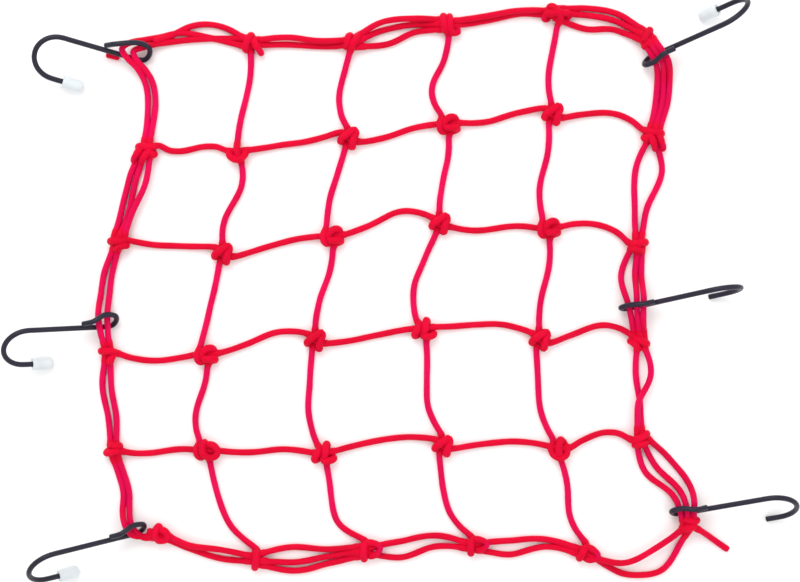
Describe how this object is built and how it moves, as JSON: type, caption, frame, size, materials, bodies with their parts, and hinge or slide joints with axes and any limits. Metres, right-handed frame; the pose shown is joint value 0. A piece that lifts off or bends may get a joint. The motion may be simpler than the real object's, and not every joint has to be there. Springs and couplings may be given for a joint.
{
  "type": "luggage net",
  "caption": "Knotted elastic cord net with doubled border strands and wire hooks round its edge, lying open, for holding a load on a rack.",
  "frame": {"origin": "on the surface the net lies on, under the middle of its outline", "axes": "+X across the net to the right, +Y up it as it is shown, +Z up from the surface"},
  "size_m": [0.5899, 0.4339, 0.0478],
  "materials": {
    "cord": "braided elastic cord, bright red",
    "wire": "dark coated steel wire, satin",
    "cap": "soft white plastic"
  },
  "bodies": {
    "root": {"net": "cord", "hook_top_left": "wire", "hook_mid_left": "wire", "hook_bottom_left": "wire", "hook_top_right": "wire", "hook_mid_right": "wire", "hook_bottom_right": "wire", "cap_top_left": "cap", "cap_mid_left": "cap", "cap_bottom_left": "cap", "cap_top_right": "cap"}
  },
  "joints": []
}
